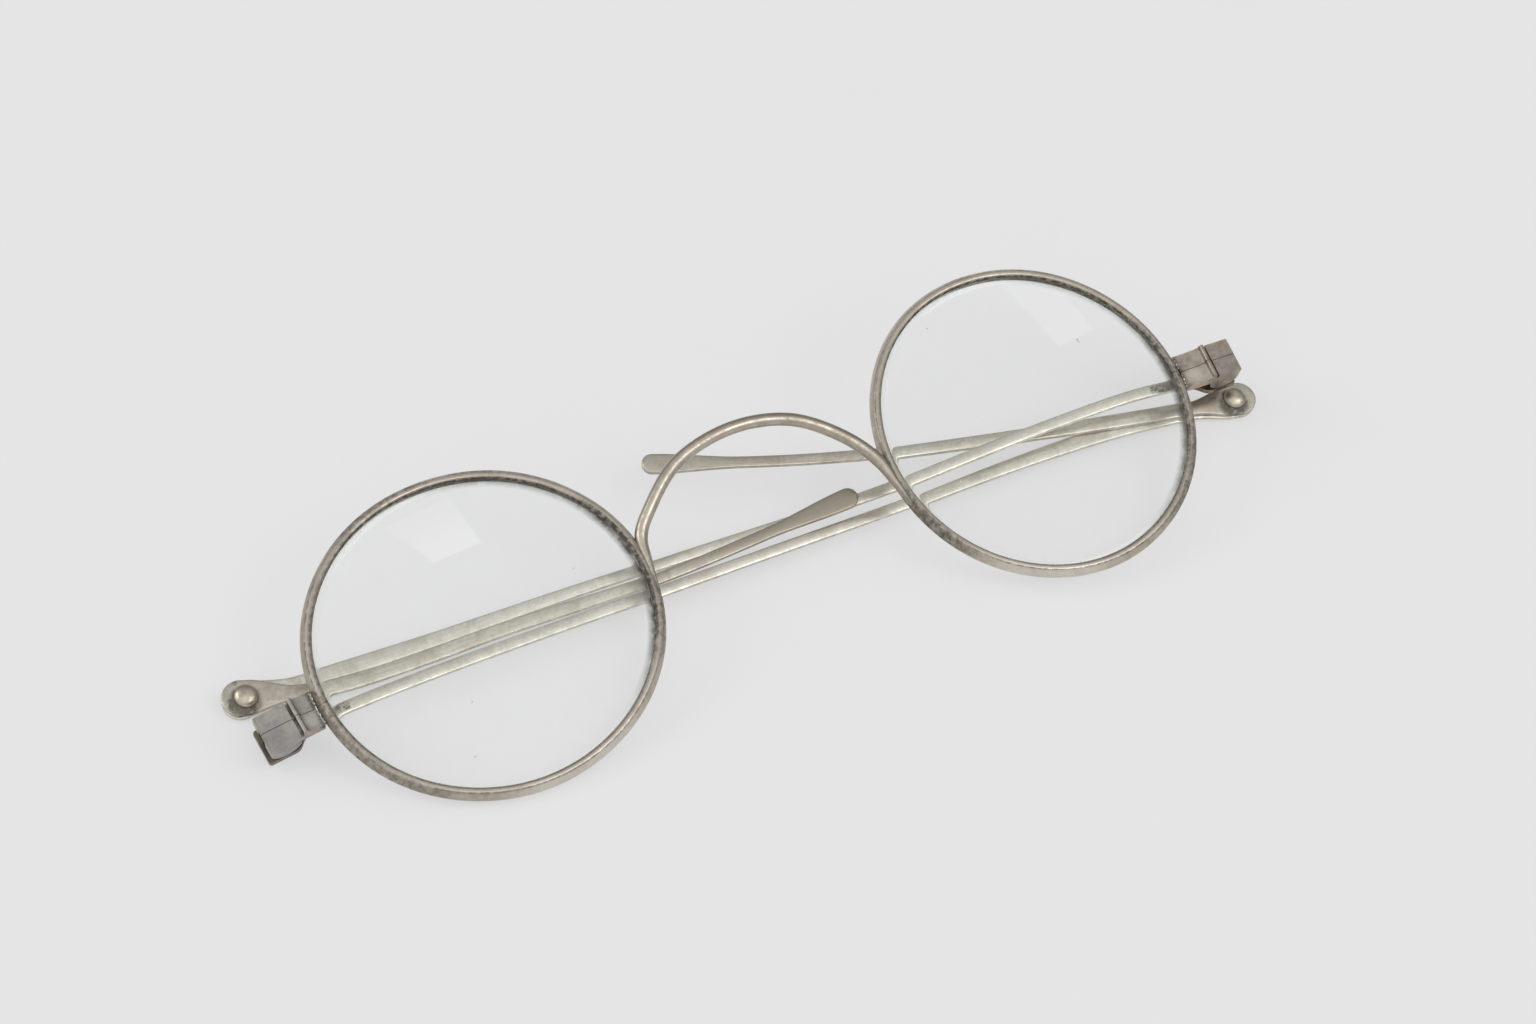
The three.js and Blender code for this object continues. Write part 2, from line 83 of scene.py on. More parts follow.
# the left hinge's axis, with its droop taken off, points up the face
joints = {joint["name"]: joint for joint in frame["joints"]}
leftAxis = np.array(joints["left_hinge"]["axis"])
faceOut = -np.array(joints["left_turn"]["axis"])
leftDroop = math.radians(front["droop"]["left"])
faceUp = leftAxis * math.cos(leftDroop) - np.cross(faceOut, leftAxis) * math.sin(leftDroop)
faceTurn = np.stack([np.cross(faceUp, faceOut), faceUp, faceOut], axis=1)
faceOrigin = np.array(joints["left_hinge"]["pos_m"]) - faceTurn @ hingePlace("left") / 1000


def toRow(points):
    # front frame in millimetres to the row frame in metres
    return np.asarray(points, float) / 1000 @ faceTurn.T + faceOrigin


def smooth(low, high, value):
    share = np.clip((value - low) / (high - low), 0, 1)
    return share * share * (3 - 2 * share)


def unit(rows):
    return rows / np.linalg.norm(rows, axis=1)[:, None]


def fullTurn(count):
    return np.linspace(0, 2 * math.pi, count, endpoint=False)


def lengthAlong(points):
    # distance from the first point, along the line
    return np.concatenate([[0], np.cumsum(np.linalg.norm(np.diff(points, axis=0), axis=1))])


def throughPoints(points, count):
    # centripetal spline through the points, in even steps of length
    p = np.asarray(points, float)
    p = np.vstack([2 * p[0] - p[1], p, 2 * p[-1] - p[-2]])
    gaps = np.sqrt(np.linalg.norm(np.diff(p, axis=0), axis=1))
    u = np.linspace(0, 1, meshing["splineSteps"], endpoint=False)[:, None]
    runs = []
    for k in range(1, len(p) - 2):
        a, b, c = gaps[k - 1], gaps[k], gaps[k + 1]
        start = ((p[k] - p[k - 1]) / a - (p[k + 1] - p[k - 1]) / (a + b) + (p[k + 1] - p[k]) / b) * b
        end = ((p[k + 1] - p[k]) / b - (p[k + 2] - p[k]) / (b + c) + (p[k + 2] - p[k + 1]) / c) * b
        cubic = 2 * p[k] - 2 * p[k + 1] + start + end
        square = -3 * p[k] + 3 * p[k + 1] - 2 * start - end
        runs.append(p[k] + u * (start + u * (square + u * cubic)))
    line = np.vstack(runs + [p[-2][None]])
    length = lengthAlong(line)
    even = np.linspace(0, length[-1], count)
    return np.stack([np.interp(even, length, line[:, k]) for k in range(3)], axis=1), length[-1]


def roundCorners(points, passes):
    # each pass cuts every corner at a quarter of its sides, and the two ends stay
    p = np.asarray(points, float)
    for _ in range(passes):
        near = 0.75 * p[:-1] + 0.25 * p[1:]
        far = 0.25 * p[:-1] + 0.75 * p[1:]
        middle = np.stack([near, far], axis=1).reshape(-1, p.shape[1])
        p = np.vstack([p[:1], middle, p[-1:]])
    return p


def linkObject(name, data):
    thing = bpy.data.objects.new(name, data)
    bpy.context.scene.collection.objects.link(thing)
    return thing


def shadePiece(name, mesh, sharpFrom):
    mesh.polygons.foreach_set("use_smooth", np.ones(len(mesh.polygons), bool))
    mesh.set_sharp_from_angle(angle=math.radians(sharpFrom))
    return linkObject(name, mesh)


def gridPiece(name, points, caps=True, grain=None, marks=None):
    # rings of points, one after another: neighbours make quads, and each open end gets one face
    rows, cols = points.shape[:2]
    i = np.arange(rows - 1)[:, None]
    j = np.arange(cols)[None, :]
    k = (j + 1) % cols
    quads = np.stack([i * cols + j, i * cols + k, (i + 1) * cols + k, (i + 1) * cols + j], axis=-1)
    faces = quads.reshape(-1, 4).tolist()
    if caps:
        faces.append(list(range(cols))[::-1])
        faces.append(list(range((rows - 1) * cols, rows * cols)))
    mesh = bpy.data.meshes.new(name)
    mesh.from_pydata(toRow(points.reshape(-1, 3)).tolist(), [], faces)
    if grain is not None:
        corner = np.zeros(len(mesh.loops), np.int32)
        mesh.loops.foreach_get("vertex_index", corner)
        layer = mesh.uv_layers.new(name="grain")
        layer.data.foreach_set("uv", grain.reshape(-1, 2)[corner].astype(np.float32).ravel())
    for label, values in (marks or {}).items():
        mark = mesh.attributes.new(label, "FLOAT", "POINT")
        mark.data.foreach_set("value", np.broadcast_to(values, (rows, cols)).astype(np.float32).ravel())
    work = bmesh.new()
    work.from_mesh(mesh)
    bmesh.ops.remove_doubles(work, verts=work.verts, dist=meshing["weld"])
    bmesh.ops.dissolve_degenerate(work, edges=work.edges, dist=meshing["sliver"])
    bmesh.ops.recalc_face_normals(work, faces=work.faces)
    work.to_mesh(mesh)
    work.free()
    return shadePiece(name, mesh, meshing["sharpFrom"])


def stand(piece, node, body, slot, *materials):
    # the piece stands for its CAD node and rides on that node's body
    for material in materials:
        piece.data.materials.append(material)
    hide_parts(node)
    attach(piece, body)
    return piece


# Shader groups
def newGroup(name, inputs, outputs):
    group = bpy.data.node_groups.new(name, "ShaderNodeTree")
    for way, kinds in (("INPUT", inputs), ("OUTPUT", outputs)):
        for kind, labels in kinds.items():
            for label in labels:
                group.interface.new_socket(label, in_out=way, socket_type="NodeSocket" + kind)
    return group, group.nodes.new("NodeGroupInput").outputs, group.nodes.new("NodeGroupOutput")


def feed(tree, node, links):
    # a socket is linked to the input, and a value is set on it
    for socket, source in links.items():
        if isinstance(source, bpy.types.NodeSocket):
            tree.links.new(source, node.inputs[socket])
        else:
            node.inputs[socket].default_value = source


def put(tree, kind, links=None, **values):
    node = tree.nodes.new("ShaderNode" + kind)
    for key, value in values.items():
        setattr(node, key, value)
    feed(tree, node, links or {})
    return node


def noise(tree, place, scale, detail=3.0, roughness=0.55):
    links = {"Vector": place, "Scale": scale, "Detail": detail, "Roughness": roughness}
    return put(tree, "TexNoise", links).outputs["Fac"]


def span(tree, value, low, high, toLow=0.0, toHigh=1.0):
    links = {"Value": value, "From Min": low, "From Max": high, "To Min": toLow, "To Max": toHigh}
    return put(tree, "MapRange", links, interpolation_type="SMOOTHSTEP").outputs["Result"]


def sums(tree, operation, a, b, clamp=False):
    return put(tree, "Math", {0: a, 1: b}, operation=operation, use_clamp=clamp).outputs[0]


def times(tree, a, b, clamp=False):
    return sums(tree, "MULTIPLY", a, b, clamp)


def vectors(tree, operation, a, b=None, scale=None, out="Vector"):
    links = {socket: value for socket, value in ((0, a), (1, b), (3, scale)) if value is not None}
    return put(tree, "VectorMath", links, operation=operation).outputs[out]


def inMillimetres(tree, place):
    return vectors(tree, "SCALE", place, scale=1000.0)


def blendColour(tree, share, a, b):
    a, b = ((*source, 1) if isinstance(source, tuple) else source for source in (a, b))
    return put(tree, "Mix", {"Factor": share, 6: a, 7: b}, data_type="RGBA").outputs[2]


# a light tone for rubbed edges and painted highlights, a dark one for grime and painted shade
silverTones = {"rubAndHighlight": (0.80, 0.75, 0.67), "grime": (0.034, 0.031, 0.024)}


def makeSilverGroup():
    # worn silver: dull patches, a coloured bloom, fine drawn lines, rubbed edges with painted highlights,
    # and grime in the corners with painted shade
    inputs = {
        "Vector": ("Place", "Lines"), "Color": ("Clean", "Dull", "Bloom"),
        "Float": ("Bloom Amount", "Line Amount", "Edge", "Grime", "Speck"),
    }
    outputs = {"Color": ("Color",), "Float": ("Roughness", "Metal", "Height")}
    group, given, out = newGroup("wornSilver", inputs, outputs)
    millimetres = inMillimetres(group, given["Place"])
    along = vectors(group, "MULTIPLY", given["Lines"], (0.1, 7.0, 1.0))
    patch = span(group, noise(group, millimetres, 0.33, 3.0), 0.42, 0.66)
    mottle = noise(group, millimetres, 1.9, 5.0, 0.62)
    grit = noise(group, millimetres, 11.0, 2.0)
    line = noise(group, along, 1.0, 4.0, 0.6)
    bloom = span(group, noise(group, millimetres, 0.75, 4.0, 0.6), 0.46, 0.62)
    spread = span(group, mottle, 0.35, 0.75, -0.15, 0.5)
    dull = sums(group, "ADD", times(group, patch, 0.55), spread, True)
    colour = blendColour(group, dull, given["Clean"], given["Dull"])
    bloomShare = times(group, bloom, given["Bloom Amount"])
    colour = blendColour(group, bloomShare, colour, given["Bloom"])
    lineShare = times(group, span(group, line, 0.38, 0.7), given["Line Amount"])
    colour = blendColour(group, lineShare, colour, given["Dull"])
    colour = blendColour(group, times(group, given["Edge"], 0.55), colour, silverTones["rubAndHighlight"])
    grime = times(group, given["Grime"], span(group, mottle, 0.32, 0.68, 0.45, 1.35), True)
    speck = span(group, noise(group, millimetres, 3.4, 3.0, 0.6), 0.57, 0.63)
    grime = sums(group, "MAXIMUM", grime, times(group, speck, given["Speck"]))
    # grime and painted shade darken the colour
    colour = blendColour(group, times(group, grime, 0.93), colour, silverTones["grime"])
    rough = sums(group, "ADD", span(group, mottle, 0.3, 0.75, 0.27, 0.42), times(group, patch, 0.08))
    rough = sums(group, "ADD", rough, times(group, grime, 0.35))
    rough = sums(group, "SUBTRACT", rough, times(group, given["Edge"], 0.06), True)
    height = sums(group, "ADD", times(group, mottle, 0.45), times(group, grit, 0.25))
    lineHeight = times(group, line, given["Line Amount"])
    height = sums(group, "ADD", height, lineHeight)
    metal = sums(group, "SUBTRACT", 1.0, times(group, grime, 0.9))
    feed(group, out, {"Color": colour, "Roughness": rough, "Metal": metal, "Height": height})
    return group


def makeSpotGroup():
    # a stain round a point, or along a line: full inside its radius, gone further out, heavier to one side
    inputs = {"Vector": ("Place", "Centre", "Long", "Side"), "Float": ("Radius", "Fade")}
    group, given, out = newGroup("stainRound", inputs, {"Float": ("Mask",)})
    long = given["Long"]
    away = vectors(group, "SUBTRACT", given["Place"], given["Centre"])
    run = vectors(group, "DOT_PRODUCT", away, long, out="Value")
    away = vectors(group, "SUBTRACT", away, vectors(group, "SCALE", long, scale=run))
    length = vectors(group, "LENGTH", away, out="Value")
    towards = vectors(group, "NORMALIZE", away)
    lean = vectors(group, "DOT_PRODUCT", towards, given["Side"], out="Value")
    reach = sums(group, "SUBTRACT", given["Radius"], length)
    share = sums(group, "DIVIDE", reach, given["Fade"])
    feed(group, out, {"Mask": span(group, sums(group, "ADD", share, lean), -1.0, 0.4)})
    return group


silverGroup = makeSilverGroup()
spotGroup = makeSpotGroup()
bumpDepth = 0.00004      # metres


def newMaterial(name):
    material = bpy.data.materials.new(name)
    material.use_nodes = True
    tree = material.node_tree
    return material, tree, tree.nodes["Principled BSDF"]


def attribute(tree, name):
    return put(tree, "Attribute", attribute_name=name).outputs["Fac"]


def spotMask(tree, place, spot):
    links = {"Place": place, "Centre": toRow(spot["at"])}
    for label in ("Long", "Side"):
        links[label] = faceTurn @ np.array(spot.get(label.lower(), (0, 0, 0)), float)
    for label in ("Radius", "Fade"):
        links[label] = spot[label.lower()] / 1000
    return times(tree, put(tree, "Group", links, node_tree=spotGroup).outputs["Mask"], spot["amount"])


def stampMask(tree, place, grain, stamp):
    # a plain sunk rectangle on a strip: so long and so wide about a place along it, dark where it is pitted
    parts = put(tree, "SeparateXYZ", {0: grain})
    off = sums(tree, "SUBTRACT", parts.outputs["X"], stamp["along"])
    mask = span(tree, noise(tree, inMillimetres(tree, place), 2.6, 2.0), 0.42, 0.6, 0.35, 1.2)
    for value, size, fade in ((off, stamp["long"], 0.12), (parts.outputs["Y"], stamp["wide"], 0.1)):
        mask = times(tree, mask, span(tree, sums(tree, "ABSOLUTE", value, 0.0), size / 2, size / 2 - fade))
    return mask


def silverMaterial(name, finish, stains=(), tints=(), marks=(), stamp=None):
    # one finish of worn silver, with dark stains added to its grime and painted shade, and tints laid over
    # its colour, a painted highlight among them
    material, tree, shader = newMaterial(name)
    place = put(tree, "TexCoord").outputs["Object"]
    drawn = finish.get("lines", 0.0)
    lines = put(tree, "UVMap", uv_map="grain").outputs["UV"] if drawn else place
    links = {"Place": place, "Lines": lines, "Line Amount": drawn, "Bloom Amount": finish["bloomAmount"]}
    for label in ("Clean", "Dull", "Bloom"):
        links[label] = (*finish[label.lower()], 1)
    for label in ("Edge", "Speck"):
        if label.lower() in marks:
            links[label] = attribute(tree, label.lower())
    dark = [attribute(tree, "grime")] if "grime" in marks else []
    dark += [stampMask(tree, place, lines, stamp)] if stamp else []
    dark += [spotMask(tree, place, stain) for stain in stains]
    links["Grime"] = 0.0
    for mask in dark:
        links["Grime"] = sums(tree, "MAXIMUM", links["Grime"], mask)
    wearAndHighlight = put(tree, "Group", links, node_tree=silverGroup).outputs
    colour = wearAndHighlight["Color"]
    if "shade" in marks:
        colour = blendColour(tree, attribute(tree, "shade"), colour, finish["shade"])
    for tint in tints:
        colour = blendColour(tree, spotMask(tree, place, tint), colour, tint["colour"])
    links = {"Height": wearAndHighlight["Height"], "Strength": finish["bump"], "Distance": bumpDepth}
    bumped = put(tree, "Bump", links).outputs["Normal"]
    links = {"Base Color": colour, "Roughness": wearAndHighlight["Roughness"], "Metallic": wearAndHighlight["Metal"]}
    feed(tree, shader, {**links, "Normal": bumped})
    return material


# Camera, at the photograph's viewing angle
view = {
    "place": (-75.377, -95.231, 255.01),     # in the front's frame
    "turn": (24.975, -6.176, -25.257),
    "focal": 63.28,
    "sensor": 36.0,
    "clip": (0.01, 20),
}
lens = bpy.data.cameras.new("camera")
lens.lens = view["focal"]
lens.sensor_width = view["sensor"]
lens.clip_start, lens.clip_end = view["clip"]
camera = linkObject("camera", lens)
camera.location = toRow(view["place"])
look = Euler([math.radians(angle) for angle in view["turn"]]).to_matrix()
camera.rotation_euler = (Matrix(faceTurn.tolist()) @ look).to_euler()
bpy.context.scene.camera = camera
bpy.context.scene.view_settings.view_transform = "Standard"


# Rims: a half-round wire carried round each eye, grooved inside and sawn through beside the hinge
rimSizes = {
    "width": 1.2,
    "depth": 1.9,
    "edge": 0.3,
    "grooveDepth": 0.5,
    "grooveMouth": 1.1,
    "split": 0.07,
    "crown": 0.48,     # width of the round outside
    "line": 0.09,      # fine scored line between the flat front and the round outside
    "wobble": ((3, 0.03), (7, 0.015)),      # waves round the eye, and how far they push the wire
    "steps": 360,
    # arcs round each eye: the middle in degrees from the viewer's right, half the width, and the amount
    # painted shade on the outside of each rim, over the arcs that face away from the light
    "outerShade": {
        "left": [(352, 34, 0.5), (65, 28, 0.38), (105, 30, 0.6), (210, 34, 0.45)],
        "right": [(200, 26, 0.65), (326, 40, 0.6), (0, 20, 0.5), (45, 28, 0.25)],
    },
    # painted shade on the inside of each rim, beside the lens
    "innerShade": {
        "left": [(0, 46, 0.95), (170, 90, 0.42)],
        "right": [(350, 48, 0.7)],
    },
    # where an arm is soldered on: height above it, distance in from the outside, and radius
    "blotches": ((1.5, 0.2, 0.35), (0.4, 0.5, 0.3), (-0.5, 0.25, 0.4), (-1.6, 0.55, 0.25)),
    # painted highlight, with wear, on the outside of each rim over these arcs
    "wearAndHighlight": {"left": [(282, 34, 1.0)], "right": [(248, 32, 1.0), (135, 40, 0.5)]},
    "finish": {
        "clean": (0.54, 0.49, 0.415), "dull": (0.36, 0.32, 0.26), "bloom": (0.40, 0.31, 0.24),
        "bloomAmount": 0.35, "lines": 0.4, "bump": 0.1,
    },
}


def rimProfile(sizes):
    # radius and height, from one lip of the groove round the outside to the other, then the groove's floor
    radius = front["rimRadius"]
    inner = radius - sizes["width"]
    half = sizes["depth"] / 2
    mouth = sizes["grooveMouth"] / 2
    edge = sizes["edge"]
    crown, line = sizes["crown"], sizes["line"]
    scored = radius - crown
    upper = [
        (inner, mouth), (inner + edge * 0.5, half - edge * 0.3), (inner + edge, half),
        (scored - line, half), (scored, half - line * 0.9), (scored + line, half - line * 0.5),
        (radius - edge * 0.4, half - crown), (radius, half - crown * 1.6),
    ]
    lower = [(r, -z) for r, z in upper[::-1]]
    outside = roundCorners(upper + lower, 2)
    return np.vstack([outside, [(inner + sizes["grooveDepth"], 0)]])


def arcMask(way, arcs):
    # each arc is full over its middle third and fades to its ends; the strongest holds
    mask = 0 * way
    for middle, half, amount in arcs:
        apart = np.abs((np.degrees(way) - middle + 180) % 360 - 180)
        mask = np.maximum(mask, amount * smooth(half, half / 3, apart))
    return mask


def seenTurn(side, turn):
    # the angle round an eye as the viewer sees it, from the right
    return turn if side == "right" else math.pi - turn


def makeRim(side, sizes, material):
    # point k of the profile, turned about the eye's middle from one side of the saw cut to the other
    profile = rimProfile(sizes)
    start = math.asin(front["armHeight"][side] / front["eyeHalf"][side][1])
    gap = sizes["split"] / 2 / front["rimRadius"]
    turn = np.linspace(start + gap, start + 2 * math.pi - gap, sizes["steps"])[:, None]
    radius, height = profile.T[:, None]
    (slow, push), (quick, nudge) = sizes["wobble"]
    wobble = push * np.sin(slow * turn + hands[side]) + nudge * np.sin(quick * turn)
    across, up = pressEye(side, radius + wobble, turn)
    points = np.stack([across, up, height + 0 * turn], axis=-1)
    grain = np.stack(np.broadcast_arrays(turn * front["rimRadius"], lengthAlong(profile)[None]), axis=-1)
    # masks by the distance from the groove's lip, the height and the angle
    out = radius - front["rimRadius"] + sizes["width"]
    way = seenTurn(side, turn)
    # painted shadow in the gap between the lens and the groove's lip, heaviest on the upper arcs
    upper = smooth(-0.35, 0.45, np.cos(way - 0.85))
    inside = smooth(0.20, 0.08, out) * (0.25 + 0.75 * upper)
    fore = smooth(0.2, 0.6, height)
    specks = smooth(0.45, 0.2, out) * (1 - upper) * fore * 0.85
    # painted shade along the scored line, lighter on the upper arcs
    scoreShade = smooth(0.12, 0.03, np.abs(out - sizes["width"] + sizes["crown"])) * fore * (0.55 - 0.3 * upper)
    nearHinge = np.abs((turn + math.pi - start) % (2 * math.pi) - math.pi) * front["rimRadius"]
    solder = smooth(3.2, 1.4, nearHinge) * smooth(0.5, 1.1, out) * 0.5
    flat = smooth(0.25, 0.5, out) * smooth(0.85, 0.6, out) * smooth(0.5, 0.9, np.abs(height)) * 0.5
    outside = smooth(0.3, 0.55, out)
    # painted shade on the outer arcs that face away from the light
    outerShade = arcMask(way, sizes["outerShade"][side]) * outside
    # painted shade on the inner arcs
    innerShade = arcMask(way, sizes["innerShade"][side]) * (1 - outside)
    grime = np.maximum.reduce([inside, solder, outerShade, scoreShade, innerShade])
    # rubbed flat faces, and painted highlight on the outer arcs
    rubAndHighlight = np.maximum(flat, arcMask(way, sizes["wearAndHighlight"][side]) * outside)
    specks = np.maximum(specks, smooth(2.6, 1.2, nearHinge) * 0.75)
    marks = {"grime": grime, "edge": rubAndHighlight, "speck": specks}
    piece = gridPiece(f"{side}_eye_rim", points, grain=grain, marks=marks)
    return stand(piece, f"{side}_rim", "front", "rim_silver", material)


def solderStains():
    spots = []
    for side in hands:
        for up, inwards, radius in rimSizes["blotches"]:
            turn = math.asin((front["armHeight"][side] + up) / front["eyeHalf"][side][1])
            x, y = pressEye(side, front["rimRadius"] - inwards, turn)
            spots.append({"at": (x, y, 0.85), "radius": radius, "fade": 0.35, "amount": 0.75})
    return spots


rimMarks = ("edge", "grime", "speck")
rimMaterial = silverMaterial("rimSilver", rimSizes["finish"], solderStains(), marks=rimMarks)
for side in hands:
    makeRim(side, rimSizes, rimMaterial)
print("rims made")


# Lenses: two shallow bowls back to back, with a bevelled edge that sits in the groove
lensSizes = {
    "face": 16.93,
    "rim": 17.43,
    "band": 0.5,
    "bulge": 0.75,
    "bevelHeight": 0.135,
    "bend": 1.5,               # index of refraction
    "clearLight": 0.9,         # share of the light that passes straight through
    "glance": (0.35, 0.7),     # facing from which, and by which, a look passes straight through
    "glanceKept": 0.06,
    "edgeRough": 0.38,
    "rings": 28,
    "steps": 160,
    "tint": (0.985, 0.995, 0.985),
    "edgeTint": (0.93, 0.97, 0.92),
    "speckColour": (0.52, 0.5, 0.45),
    # colour of the painted shadow at the lens's edge
    "innerShadeColour": (0.06, 0.052, 0.038),
    # painted shadow between lens and rim: the middle in degrees, half the width, and the amount
    "innerShade": {"left": [(0, 60, 0.95), (60, 40, 0.5)], "right": [(345, 60, 0.75), (40, 40, 0.35)]},
}


def makeLens(side, sizes, material):
    # radius and height from the back's pole over the bevel to the front's pole, turned about the middle
    share = np.linspace(0, 1, sizes["rings"])
    radius = sizes["face"] * share
    height = sizes["band"] / 2 + sizes["bulge"] * (1 - share ** 2)
    middle, rise = (sizes["face"] + sizes["rim"]) / 2, sizes["bevelHeight"]
    bevel = [(middle, -rise), (sizes["rim"], 0.0), (middle, rise)]
    backFace = np.stack([radius, -height], axis=1)
    profile = np.vstack([backFace, bevel, backFace[::-1] * [1, -1]])
    turn = fullTurn(sizes["steps"])[None, :]
    r, z = profile.T[..., None]
    across, up = pressEye(side, r, turn)
    points = np.stack([across, up, z + 0 * turn], axis=-1)
    arcs = arcMask(seenTurn(side, turn), sizes["innerShade"][side])
    # painted shadow along the lens's edge over these arcs
    edgeShade = smooth(sizes["face"] - 0.3, sizes["face"] - 0.05, r) * arcs
    marks = {"edge": smooth(sizes["face"] - 0.7, sizes["rim"], r), "innerShade": edgeShade}
    piece = gridPiece(f"{side}_eye_lens", points, caps=False, marks=marks)
    return stand(piece, f"{side}_lens", "front", "lens_glass", material)


def glassMaterial(sizes):
    # clear glass with a faint green edge, a few specks and a trace of smear; light passes it unbent,
    # and so does a glancing look, which would otherwise be caught between the two faces
    material, tree, shader = newMaterial("lensGlass")
    place = put(tree, "TexCoord").outputs["Object"]
    millimetres = inMillimetres(tree, place)
    edge = attribute(tree, "edge")
    colour = blendColour(tree, edge, sizes["tint"], sizes["edgeTint"])
    cells = put(tree, "TexVoronoi", {"Vector": millimetres, "Scale": 0.32}).outputs["Distance"]
    sparse = span(tree, noise(tree, millimetres, 0.13, 2.0), 0.55, 0.62)
    speck = times(tree, span(tree, cells, 0.055, 0.03), sparse)
    colour = blendColour(tree, speck, colour, sizes["speckColour"])
    uneven = span(tree, noise(tree, millimetres, 0.9), 0.3, 0.6, 0.55, 1.0)
    # painted shadow along parts of the edge, made uneven
    edgeShade = times(tree, attribute(tree, "innerShade"), uneven)
    colour = blendColour(tree, edgeShade, colour, sizes["innerShadeColour"])
    smear = span(tree, noise(tree, millimetres, 0.22, 4.0), 0.5, 0.8, 0.0, 0.035)
    rough = sums(tree, "ADD", smear, times(tree, edge, sizes["edgeRough"]))
    path = put(tree, "LightPath")
    passing = sums(tree, "MAXIMUM", path.outputs["Is Shadow Ray"], path.outputs["Is Diffuse Ray"])
    alpha = sums(tree, "SUBTRACT", 1.0, times(tree, passing, sizes["clearLight"]))
    facing = put(tree, "LayerWeight", {"Blend": 0.5}).outputs["Facing"]
    glance = span(tree, facing, *sizes["glance"], 1.0, sizes["glanceKept"])
    feed(tree, shader, {
        "Base Color": colour, "Roughness": rough, "Transmission Weight": 1.0, "IOR": sizes["bend"],
        "Alpha": times(tree, alpha, glance),
    })
    return material


lensMaterial = glassMaterial(lensSizes)
for side in hands:
    makeLens(side, lensSizes, lensMaterial)
print("lenses made")


# Bridge: a round wire along a spline, thinned to a scarf on each rim
bridgeSizes = {
    "wire": 1.4,
    "rise": 10.05,
    "forward": 2.6,
    "footHeight": 0.75,
    "footStart": {"left": 3.3, "right": 1.8},
    "footLength": 6.0,
    "footTip": 0.3,
    "footSink": (0.25, 0.7, 0.5),      # how far a foot is drowned in its rim's solder, down to its tip
    "leg": (11.3, 5.4),
    "shoulder": (6.6, 8.9),
    "steps": 260,
    "sides": 28,
}


def halfBridge(side, sizes):
    # from the foot's tip along the pressed rim, then up the leg to the shoulder
    wide, high = front["eyeHalf"][side]
    wire, tip = sizes["wire"] / 2, sizes["footTip"] / 2
    height, forward = sizes["footHeight"], sizes["forward"]
    spots = []
    stops = ((1.0, tip, 0.3), (0.5, (tip + wire) / 2, 0.6), (0.0, wire, 1.0))
    for (share, half, level), sink in zip(stops, sizes["footSink"][::-1]):
        y = sizes["footStart"][side] - share * sizes["footLength"]
        out = half + front["seat"] - sink
        x = front["eyeX"] - (wide + out) * math.sqrt(1 - (y / (high + out)) ** 2)
        spots.append((hands[side] * x, y, height * level))
    for (x, y), share in ((sizes["leg"], 0.3), (sizes["shoulder"], 0.7)):
        spots.append((hands[side] * x, y, height + forward * share))
    return spots


def makeBridge(sizes, material):
    # ring k of the wire is its centre plus an ellipse across the path, narrower towards each foot
    crown = [(0, sizes["rise"], sizes["footHeight"] + sizes["forward"])]
    spots = halfBridge("left", sizes) + crown + halfBridge("right", sizes)[::-1]
    path, length = throughPoints(spots, sizes["steps"])
    along = unit(np.gradient(path, axis=0))
    across = unit(np.cross([0, 0, 1], along))
    up = np.cross(along, across)
    share = np.linspace(0, 1, sizes["steps"])
    scarf = sizes["footLength"] / length
    fromEnd = np.clip(np.minimum(share, 1 - share) / scarf, 0, 1)
    wire = sizes["wire"] / 2
    halfWidth = sizes["footTip"] / 2 + (wire - sizes["footTip"] / 2) * fromEnd
    halfDepth = wire * (0.75 + 0.25 * fromEnd)
    turn = fullTurn(sizes["sides"])
    ring = halfWidth[:, None, None] * np.cos(turn)[None, :, None] * across[:, None]
    ring = ring + halfDepth[:, None, None] * np.sin(turn)[None, :, None] * up[:, None]
    points = path[:, None] + ring
    grain = np.stack(np.broadcast_arrays((share * length)[:, None], turn[None] * wire), axis=-1)
    marks = {"grime": smooth(0.75, 0.1, fromEnd)[:, None] * 0.25}
    piece = gridPiece("nose_bridge", points, grain=grain, marks=marks)
    return stand(piece, "bridge", "front", "rim_silver", material)


makeBridge(bridgeSizes, rimMaterial)
print("bridge made")


# Sides and extensions: a flat strip along a spline, with rounded edges and a round eye at its pin
stripSizes = {
    "thickness": 0.55,
    "round": 0.14,
    "crown": 0.05,
    "eye": 1.95,
    "eyeOffset": 0.6,      # the eye's middle lies this far past the pin
    "neck": 5.2,
    "pathSteps": 900,
    "reach": {"left": 111.3, "right": 110.5},
    "level": 21.0,
    "drop": 3.3,
    "eyeTop": -6.12,
    "plateInner": 3.9,
    "extensionReach": {"left": 64.5, "right": 67.45},
    "pinHeight": {"left": -4.25, "right": 4.7},
    "sideWidths": (1.85, 1.25, 1.3),         # at the eye, along the middle, at the joint
    "extensionWidths": (1.6, 1.25, 2.3),     # at the eye, at the thinnest, across the spatula
    "spatula": 11.0,
    "endDull": {"left": 0.4, "right": 0.85},
    "stamp": {"back": 7.25, "long": 1.75, "wide": 1.0},     # a plain sunk rectangle near each joint
    "sideFinish": {
        "clean": (0.80, 0.77, 0.69), "dull": (0.58, 0.55, 0.475), "bloom": (0.56, 0.51, 0.40),
        "bloomAmount": 0.25, "lines": 0.5, "bump": 0.25, "shade": (0.40, 0.37, 0.31),
    },
    "extensionFinish": {
        "clean": (0.72, 0.685, 0.60), "dull": (0.48, 0.445, 0.37), "bloom": (0.48, 0.42, 0.32),
        "bloomAmount": 0.3, "lines": 0.6, "bump": 0.3, "shade": (0.34, 0.30, 0.24),
    },
}


